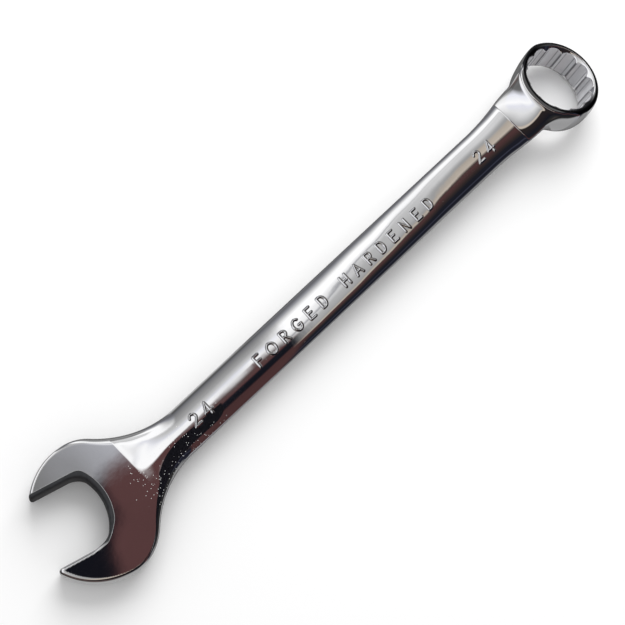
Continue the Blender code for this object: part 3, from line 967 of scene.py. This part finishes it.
def paint_rim_reflection(plate, along, across, radius, facing):
    """Paints a dark reflection on the rim's face round the bore, except for a bright arc on its far
    side.
    """
    nodes = plate.nodes
    face = nodes.product(nodes.step(along, *RIM_ALONG), nodes.step(facing, *RIM_FACING))
    wider = nodes.step(across, *RIM_WIDENING_ACROSS)
    edge = nodes.math("MULTIPLY_ADD", wider, RIM_WIDENING, RIM_RADIUS)
    rim = nodes.product(face, nodes.step(nodes.minus(radius, edge), *RIM_EDGE))
    bright = nodes.product(
        nodes.step(radius, *BRIGHT_RIM_RADIUS), nodes.step(across, *BRIGHT_RIM_ACROSS))
    mask = nodes.product(rim, nodes.minus(1.0, bright))
    # Painted dark reflection: a near-black mirror colour over the rim's face.
    plate.coat(mask, PAINTED_RIM_REFLECTION, roughness=0.08, metallic=1.0)


def satin_bore(plate, angle, radius, facing):
    """Coats the bore's walls: cloudy plating, a line down each flank and a dark notch per ridge."""
    nodes = plate.nodes
    lobe = nodes.minus(angle, BORE_PHASE)
    lobe = nodes.math("DIVIDE", lobe, 2.0 * math.pi / BORE_POINTS)
    off = nodes.minus(lobe, nodes.math("ROUND", lobe))
    off = nodes.product(nodes.math("ABSOLUTE", off), 2.0)
    from_line = nodes.math("ABSOLUTE", nodes.minus(off, LINE_LOBE))
    line = nodes.step(from_line, *LINE_WIDTH)
    notch = nodes.step(off, *NOTCH_LOBE)
    cloud = nodes.noise(plate.at, SATIN_SCALE, 3.0)
    grey = nodes.mix(cloud, SATIN_DARK, SATIN)
    grey = nodes.mix(nodes.product(line, cloud), grey, SATIN_LINE)
    grey = nodes.mix(nodes.product(notch, NOTCH_SHARE), grey, SATIN_NOTCH)
    wall = nodes.step(nodes.math("ABSOLUTE", facing), *SATIN_FACING)
    mask = nodes.product(wall, nodes.step(radius, *SATIN_RADIUS))
    plate.coat(mask, grey, roughness=0.38, metallic=0.4)


def ring_chrome(name):
    """Chrome with a painted dark reflection on its rim and the satin, broached plating inside the
    twelve-point bore.
    """
    plate = Chrome(name)
    plate.dust()
    nodes = plate.nodes
    axis = TURN @ (math.sin(RING_LEAN), 0.0, math.cos(RING_LEAN))
    level = TURN @ (math.cos(RING_LEAN), 0.0, -math.sin(RING_LEAN))
    centre = to_world((RING_CENTRE_X, 0.0, RING_CENTRE_Z))
    along, across = plate.along(centre, axis), plate.along(centre, level)
    side = plate.along(centre, (0.0, 1.0, 0.0))
    radius = nodes.length(across, side)
    normal = nodes.add("NewGeometry").outputs["Normal"]
    facing = nodes.vector("DOT_PRODUCT", normal, tuple(axis))
    paint_rim_reflection(plate, along, across, radius, facing)
    satin_bore(plate, nodes.math("ARCTAN2", side, across), radius, facing)
    return plate.finish()


# --- the three skins ---

def make_wrench():
    head = field_piece(
        "open_end_head_skin", head_field, HEAD_LOW, HEAD_HIGH, HEAD_CELL, HEAD_END_X,
        head_chrome("head_chrome"))
    shank = make_shank(shank_chrome("shank_chrome"))
    ring = field_piece(
        "ring_head_skin", ring_field, RING_LOW, RING_HIGH, RING_CELL, SHANK_END_X,
        ring_chrome("ring_chrome"))
    for piece, node, slot in (
        (head, "open_end_head", "head_chrome"),
        (shank, "shank", "shank_chrome"),
        (ring, "ring_head", "ring_chrome"),
    ):
        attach(piece, "root")
        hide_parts(node)


make_wrench()


# --- studio ---

# The camera: a long lens above the jaw end, half a metre away (metres, degrees, mm).
CAMERA_PLACE = (-0.1694651, -0.0438874, 0.4824727)
CAMERA_TURN = (17.07, -9.40647, -44.93269)
CAMERA_SENSOR = 36.0
CAMERA_LENS = 82.73664
CAMERA_SHIFT = (0.00952, -0.026016)
CAMERA_CLIP = (0.02, 20.0)

# The table and the light on it (metres, watts).
FLOOR_REACH = 4.0
FLOOR_WHITE = (0.9, 0.9, 0.9)
LAMP_PLACE = (0.75, 0.55, 0.72)
LAMP_AIM = (0.0, 0.0, 0.0)
LAMP_SIZE = 1.1
LAMP_POWER = 14.5
AMBIENT = 0.68
MIRRORED = 1.2

# The card over the jaw end: its outline, seen from above, and its height (mm, world).
FLAG_OUTLINE = ((-89, -60), (-46, -60), (-46, -4), (-62, -1), (-78, -1), (-89, -10))
FLAG_HEIGHT = 66.0
FLAG_BLACK = (0.01, 0.01, 0.013)


def make_camera():
    data = bpy.data.cameras.new("camera")
    data.sensor_width = CAMERA_SENSOR
    data.lens = CAMERA_LENS
    data.shift_x, data.shift_y = CAMERA_SHIFT
    data.clip_start, data.clip_end = CAMERA_CLIP
    camera = bpy.data.objects.new("camera", data)
    camera.location = CAMERA_PLACE
    camera.rotation_euler = [math.radians(angle) for angle in CAMERA_TURN]
    bpy.context.collection.objects.link(camera)
    bpy.context.scene.camera = camera


def matt_card(name, corners, material_name, colour, roughness):
    """One flat face with a matt finish."""
    mesh = bpy.data.meshes.new(name)
    mesh.from_pydata(corners, [], [tuple(range(len(corners)))])
    material = bpy.data.materials.new(material_name)
    material.use_nodes = True
    shader = material.node_tree.nodes["Principled BSDF"]
    shader.inputs["Base Color"].default_value = (*colour, 1.0)
    shader.inputs["Roughness"].default_value = roughness
    shader.inputs["Specular IOR Level"].default_value = 0.0
    mesh.materials.append(material)
    card = bpy.data.objects.new(name, mesh)
    bpy.context.collection.objects.link(card)
    return card


def make_floor():
    """White table. Mirror reflections skip it: they show the dark and bright studio around it."""
    signs = ((-1, -1), (1, -1), (1, 1), (-1, 1))
    corners = [(x * FLOOR_REACH, y * FLOOR_REACH, 0.0) for x, y in signs]
    floor = matt_card("floor", corners, "floor_white", FLOOR_WHITE, 0.9)
    floor.visible_glossy = False


def make_flag():
    """Black card low over the jaw end, which only mirror reflections see: it darkens the neck."""
    corners = [(x * MM, y * MM, FLAG_HEIGHT * MM) for x, y in FLAG_OUTLINE]
    flag = matt_card("flag", corners, "flag_black", FLAG_BLACK, 1.0)
    flag.visible_camera = False
    flag.visible_diffuse = False
    flag.visible_shadow = False


# What the chrome mirrors: a studio described round the wrench's length. A band lists (bearing in
# degrees, grey level as displayed), with a hue where it isn't plain grey. Bearing 0 is straight up,
# +90 is level on the upper-left side and -90 on the lower-right. A band holds for reflections that
# lean a given amount toward the ring end.
GREY = (1.0, 1.0, 1.0)
BROWN = (1.24, 0.88, 0.88)
UMBER = (1.10, 0.96, 0.94)
CREAM = (1.05, 0.99, 0.92)
COLD = (0.985, 0.99, 1.025)
NAVY = (0.92, 0.95, 1.15)

RING_NECK_BAND = (
    (-180, 0.12), (-150, 0.30, UMBER), (-112, 0.32, UMBER), (-96, 0.18),
    (-60, 0.12, NAVY), (-2, 0.16, UMBER), (1, 0.74, CREAM), (5, 0.70, CREAM), (9, 0.60),
    (16, 0.66), (26, 0.78), (36, 0.87), (50, 0.90, COLD), (60, 0.99),
    (82, 0.92, COLD), (100, 0.42), (120, 0.34), (178, 0.14),
)
MIDDLE_BAND = (
    (-180, 0.60), (-135, 0.57), (-122, 0.60), (-115, 0.15),
    (-45, 0.13, NAVY), (-2, 0.16, UMBER), (1, 0.74, CREAM), (5, 0.68, CREAM), (9, 0.60),
    (16, 0.66), (26, 0.78), (36, 0.87), (60, 0.98), (82, 0.90),
    (97, 0.36), (115, 0.34, UMBER), (135, 0.80), (180, 0.60),
)
JAW_END_BAND = (
    (-178, 0.30), (-145, 0.50), (-124, 0.60, COLD), (-119, 0.22, BROWN),
    (-60, 0.235, BROWN), (-28, 0.225, BROWN), (-21, 0.11, NAVY), (-8, 0.12, NAVY),
    (-4, 0.27, BROWN), (2, 0.31, UMBER), (6, 0.90), (10, 0.88, COLD), (15, 0.76),
    (24, 0.62), (38, 0.54), (62, 0.43, COLD), (84, 0.30), (100, 0.44),
    (125, 0.72), (170, 0.62), (179, 0.30),
)
SHANK_BAND = (
    (-178, 0.30), (-158, 0.46), (-138, 0.52), (-124, 0.17, NAVY),
    (-92, 0.13, NAVY), (-80, 0.24, NAVY), (-76, 0.14, NAVY), (-60, 0.14, NAVY), (-50, 0.18, UMBER),
    (-36, 0.25, BROWN), (-33, 0.24, UMBER), (-31, 0.70, CREAM), (-28, 0.64, CREAM),
    (-25, 0.60), (-8, 0.68), (-3, 0.80), (-1, 0.56, COLD), (1, 0.88),
    (7, 1.0), (20, 1.0), (32, 0.78), (45, 0.58, COLD), (60, 0.44, COLD),
    (78, 0.38, COLD), (96, 0.44, COLD), (118, 0.36), (152, 0.40), (178, 0.30),
)
FAR_BAND = (
    (-180, 0.60), (-140, 0.68), (-132, 0.55), (-126, 0.20),
    (-40, 0.17), (-22, 0.34), (10, 0.32), (30, 0.34), (45, 0.55),
    (62, 0.46), (86, 0.56), (120, 0.40), (165, 0.24), (180, 0.60),
)

# Leans at which one band gives way to the next, as the reflection's X from -1 to 1.
TO_MIDDLE = (-0.32, -0.18)
TO_JAW_END = (0.155, 0.185)
TO_SHANK = (0.235, 0.262)
TO_SHANK_DELAY = 0.015
TO_SHANK_DELAY_BEARING = (0.0, -8.0)
TO_FAR = (0.475, 0.54)

# Near the ring the lamps stand further to the upper left, by bearing.
SLIDE_LEAN = (0.24, 0.52)
SLIDE = 56.0
SLIDE_LIMIT = 34.5
SLIDE_BEARING = (150.0, 90.0)

# On the ring's neck they turn toward the lower right as the surface rises, by bearing.
NECK_TURN = 8.0
NECK_TURN_PER_LEAN = -45.0
NECK_TURN_BEARING = ((-110.0, -70.0), (105.0, 75.0))

# A lighter stretch beside them, seen along the crown of the shank toward the ring.
LIFT_BEARING = ((-25.0, -14.0), (4.0, -2.0))
LIFT_LEAN = (0.32, 0.40)
LIFT_SHARE = 0.75
LIFT_LEVEL = 0.84

# Straight above, seen by the flat head face: a window onto a ceiling and the dark room beside it.
OVERHEAD_LEAN = ((0.01, 0.03), (0.24, 0.21))
OVERHEAD_SIDE = ((-0.11, -0.06), (0.20, 0.15))
OVERHEAD_UP = (0.0, 0.2)
DOORWAY_SLANT = -0.76
DOORWAY = (0.008, 0.032)
ROOM = ((0.105, NAVY), (0.27, BROWN))
CEILING_EDGE = 0.113
CEILING_EDGE_SLANT = -0.08
CEILING_EDGE_SOFT = 0.012
CEILING = ((0.45,), (0.70, COLD))
CEILING_LEAN = (0.04, 0.15)
CEILING_BRIGHT = 0.97
CEILING_BRIGHT_LEAN = (0.125, 0.175)


def tone(level, hue=GREY):
    """Linear colour of a displayed grey level with a hue."""
    return tuple(min(level * part, 1.0) ** 2.2 for part in hue)


def band_colour(nodes, bearing, band):
    turn = nodes.math("DIVIDE", nodes.math("ADD", bearing, 180.0), 360.0)
    stops = [((degrees + 180.0) / 360.0, tone(*look)) for degrees, *look in band]
    return nodes.ramp(turn, stops)


def studio_round(nodes, lean, side, up):
    """The bands round the wrench's length."""
    bearing = nodes.product(nodes.math("ARCTAN2", side, up), 180.0 / math.pi)
    slide = nodes.product(nodes.step(lean, *SLIDE_LEAN), SLIDE)
    slide = nodes.math("MINIMUM", slide, SLIDE_LIMIT)
    slide = nodes.product(slide, nodes.step(nodes.math("ABSOLUTE", bearing), *SLIDE_BEARING))
    slid = nodes.minus(bearing, slide)

    turn = nodes.math("MULTIPLY_ADD", lean, NECK_TURN_PER_LEAN, NECK_TURN)
    turn = nodes.math("MAXIMUM", turn, 0.0)
    facing = nodes.window(bearing, *NECK_TURN_BEARING)
    turned = nodes.math("MULTIPLY_ADD", turn, facing, bearing)

    lifted = nodes.product(nodes.window(slid, *LIFT_BEARING), nodes.step(lean, *LIFT_LEAN))
    shank = nodes.mix(
        nodes.product(lifted, LIFT_SHARE), band_colour(nodes, slid, SHANK_BAND),
        tone(LIFT_LEVEL))
    delay = nodes.step(bearing, *TO_SHANK_DELAY_BEARING)
    late = nodes.math("MULTIPLY_ADD", delay, -TO_SHANK_DELAY, lean)

    colour = band_colour(nodes, turned, RING_NECK_BAND)
    for place, ends, after in (
        (lean, TO_MIDDLE, band_colour(nodes, turned, MIDDLE_BAND)),
        (lean, TO_JAW_END, band_colour(nodes, bearing, JAW_END_BAND)),
        (late, TO_SHANK, shank),
        (lean, TO_FAR, band_colour(nodes, bearing, FAR_BAND)),
    ):
        colour = nodes.mix(nodes.step(place, *ends), colour, after)
    return colour


def studio_overhead(nodes, lean, side):
    """The ceiling's edge and the dark room beside it."""
    doorway = nodes.math("MULTIPLY_ADD", side, DOORWAY_SLANT, lean)
    room = nodes.mix(nodes.step(doorway, *DOORWAY), *(tone(*look) for look in ROOM))
    ceiling = nodes.mix(nodes.step(lean, *CEILING_LEAN), *(tone(*look) for look in CEILING))
    bright = nodes.step(lean, *CEILING_BRIGHT_LEAN)
    ceiling = nodes.mix(bright, ceiling, tone(CEILING_BRIGHT))
    edge = nodes.math("MULTIPLY_ADD", lean, CEILING_EDGE_SLANT, CEILING_EDGE)
    past_edge = nodes.minus(side, edge)
    past_edge = nodes.step(past_edge, -CEILING_EDGE_SOFT, CEILING_EDGE_SOFT)
    return nodes.mix(past_edge, room, ceiling)


def make_world():
    """Mirror reflections see the studio, matt surfaces an even light, the camera white."""
    world = bpy.data.worlds.new("studio")
    bpy.context.scene.world = world
    world.use_nodes = True
    nodes = Nodes(world.node_tree)
    toward = nodes.add("SeparateXYZ", Vector=nodes.add("TexCoord").outputs["Generated"])
    lean, side, up = toward.outputs
    window = nodes.product(
        nodes.window(lean, *OVERHEAD_LEAN), nodes.window(side, *OVERHEAD_SIDE),
        nodes.step(up, *OVERHEAD_UP))
    colour = nodes.mix(
        window, studio_round(nodes, lean, side, up), studio_overhead(nodes, lean, side))

    white = (1.0, 1.0, 1.0)
    light = nodes.add("Background", Color=colour, Strength=MIRRORED).outputs[0]
    path = nodes.add("LightPath").outputs
    for ray, strength in (("Is Diffuse Ray", AMBIENT), ("Is Camera Ray", 1.0)):
        even = nodes.add("Background", Color=white, Strength=strength).outputs[0]
        shown = nodes.add("MixShader")
        nodes.feed(shown, (0, 1, 2), (path[ray], light, even))
        light = shown.outputs[0]
    nodes.feed(world.node_tree.nodes["World Output"], ["Surface"], [light])


def make_lamp():
    """Large square lamp that lights the table and its shadow; the chrome doesn't mirror it."""
    data = bpy.data.lights.new("key", "AREA")
    data.shape = "SQUARE"
    data.size = LAMP_SIZE
    data.energy = LAMP_POWER
    lamp = bpy.data.objects.new("key", data)
    lamp.location = LAMP_PLACE
    lamp.rotation_mode = "QUATERNION"
    aim = Vector(LAMP_AIM) - Vector(LAMP_PLACE)
    lamp.rotation_quaternion = aim.to_track_quat("-Z", "Y")
    lamp.visible_glossy = False
    bpy.context.collection.objects.link(lamp)


make_camera()
make_floor()
make_flag()
make_world()
make_lamp()
bpy.context.scene.view_settings.view_transform = "Standard"
